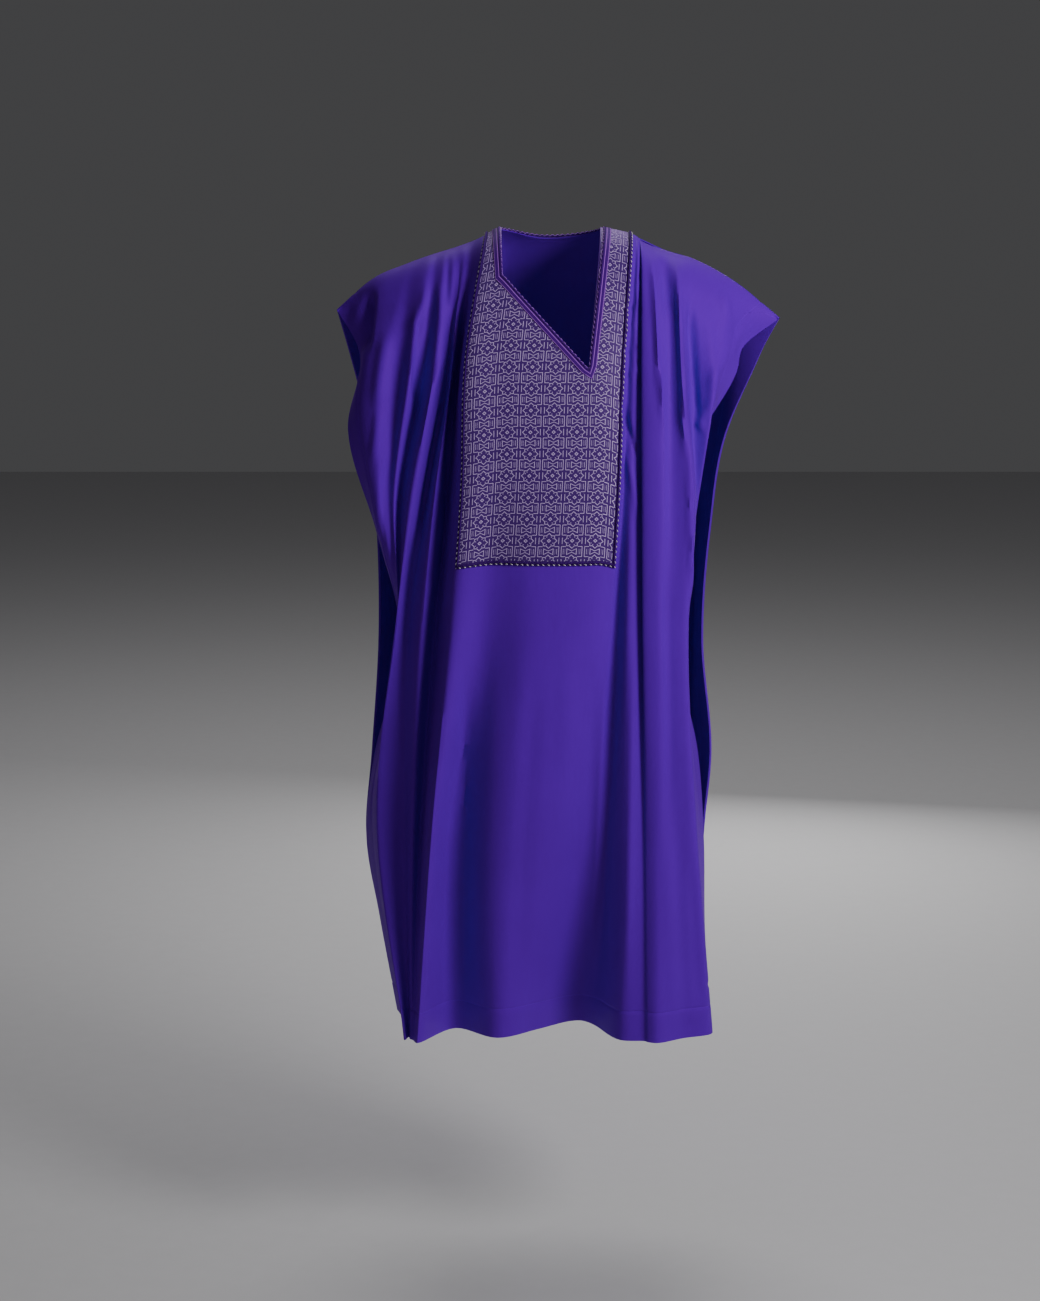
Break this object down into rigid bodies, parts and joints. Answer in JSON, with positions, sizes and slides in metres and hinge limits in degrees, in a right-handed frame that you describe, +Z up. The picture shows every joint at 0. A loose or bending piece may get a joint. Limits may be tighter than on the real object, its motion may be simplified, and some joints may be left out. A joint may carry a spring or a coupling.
{
  "type": "grand boubou robe",
  "caption": "Long wide over-robe with open sleeves, a slanted V neck and a woven chest panel edged with rope braid, hanging in its worn shape.",
  "frame": {"origin": "midway between the two neck points of the shoulder seams, at the height where the shoulders hold the robe", "axes": "+Z up, the wearer's front faces -Y, +X is the viewer's right seen from the front"},
  "size_m": [0.653, 0.3402, 1.1944],
  "materials": {
    "robe_cloth": "smooth purple suiting with a soft satin sheen",
    "panel_brocade": "woven brocade, lilac figures on dark purple",
    "rope_braid": "twisted two-colour cord, purple with light flecks",
    "binding_cloth": "satin binding with stitched lines"
  },
  "bodies": {
    "root": {"front": "robe_cloth", "back": "robe_cloth", "chest_panel": "panel_brocade", "braid_left": "rope_braid", "braid_right": "rope_braid", "braid_bottom": "rope_braid", "neck_binding": "binding_cloth"}
  },
  "joints": []
}
